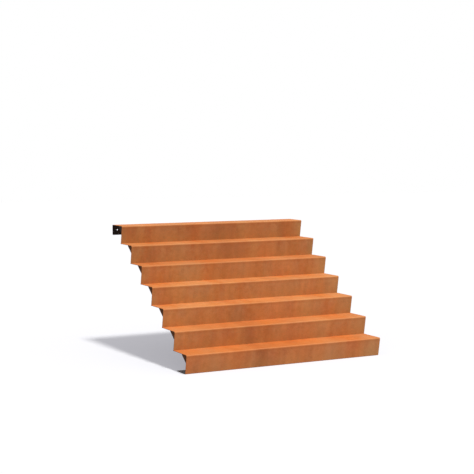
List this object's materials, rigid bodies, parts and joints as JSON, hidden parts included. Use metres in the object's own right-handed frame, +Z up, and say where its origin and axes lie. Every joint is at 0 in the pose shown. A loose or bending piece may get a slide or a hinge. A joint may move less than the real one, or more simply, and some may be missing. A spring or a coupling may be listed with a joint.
{
  "type": "outdoor steel staircase",
  "caption": "Straight open-backed garden stair of folded weathering steel sheets, with a foot flange, a wall flange and small gussets under each nosing.",
  "frame": {"origin": "on the underside of the foot flange, at mid width, halfway along its row of anchor holes", "axes": "+Z up, +Y horizontal in the direction of climb, from the foot towards the wall, +X to the right when climbing, along the treads"},
  "size_m": [2, 1.6827, 1.19],
  "materials": {
    "weathered_sheet": "matte",
    "shaded_gusset": "matte"
  },
  "bodies": {
    "root": {"step_1_sheet": "weathered_sheet", "step_2_sheet": "weathered_sheet", "step_3_sheet": "weathered_sheet", "step_4_sheet": "weathered_sheet", "step_5_sheet": "weathered_sheet", "step_6_sheet": "weathered_sheet", "step_7_sheet": "weathered_sheet", "step_1_gusset_left": "shaded_gusset", "step_1_gusset_middle": "shaded_gusset", "step_1_gusset_right": "shaded_gusset", "step_2_gusset_left": "shaded_gusset", "step_2_gusset_middle": "shaded_gusset", "step_2_gusset_right": "shaded_gusset", "step_3_gusset_left": "shaded_gusset", "step_3_gusset_middle": "shaded_gusset", "step_3_gusset_right": "shaded_gusset", "step_4_gusset_left": "shaded_gusset", "step_4_gusset_middle": "shaded_gusset", "step_4_gusset_right": "shaded_gusset", "step_5_gusset_left": "shaded_gusset", "step_5_gusset_middle": "shaded_gusset", "step_5_gusset_right": "shaded_gusset", "step_6_gusset_left": "shaded_gusset", "step_6_gusset_middle": "shaded_gusset", "step_6_gusset_right": "shaded_gusset", "step_7_gusset_left": "shaded_gusset", "step_7_gusset_middle": "shaded_gusset", "step_7_gusset_right": "shaded_gusset"}
  },
  "joints": []
}
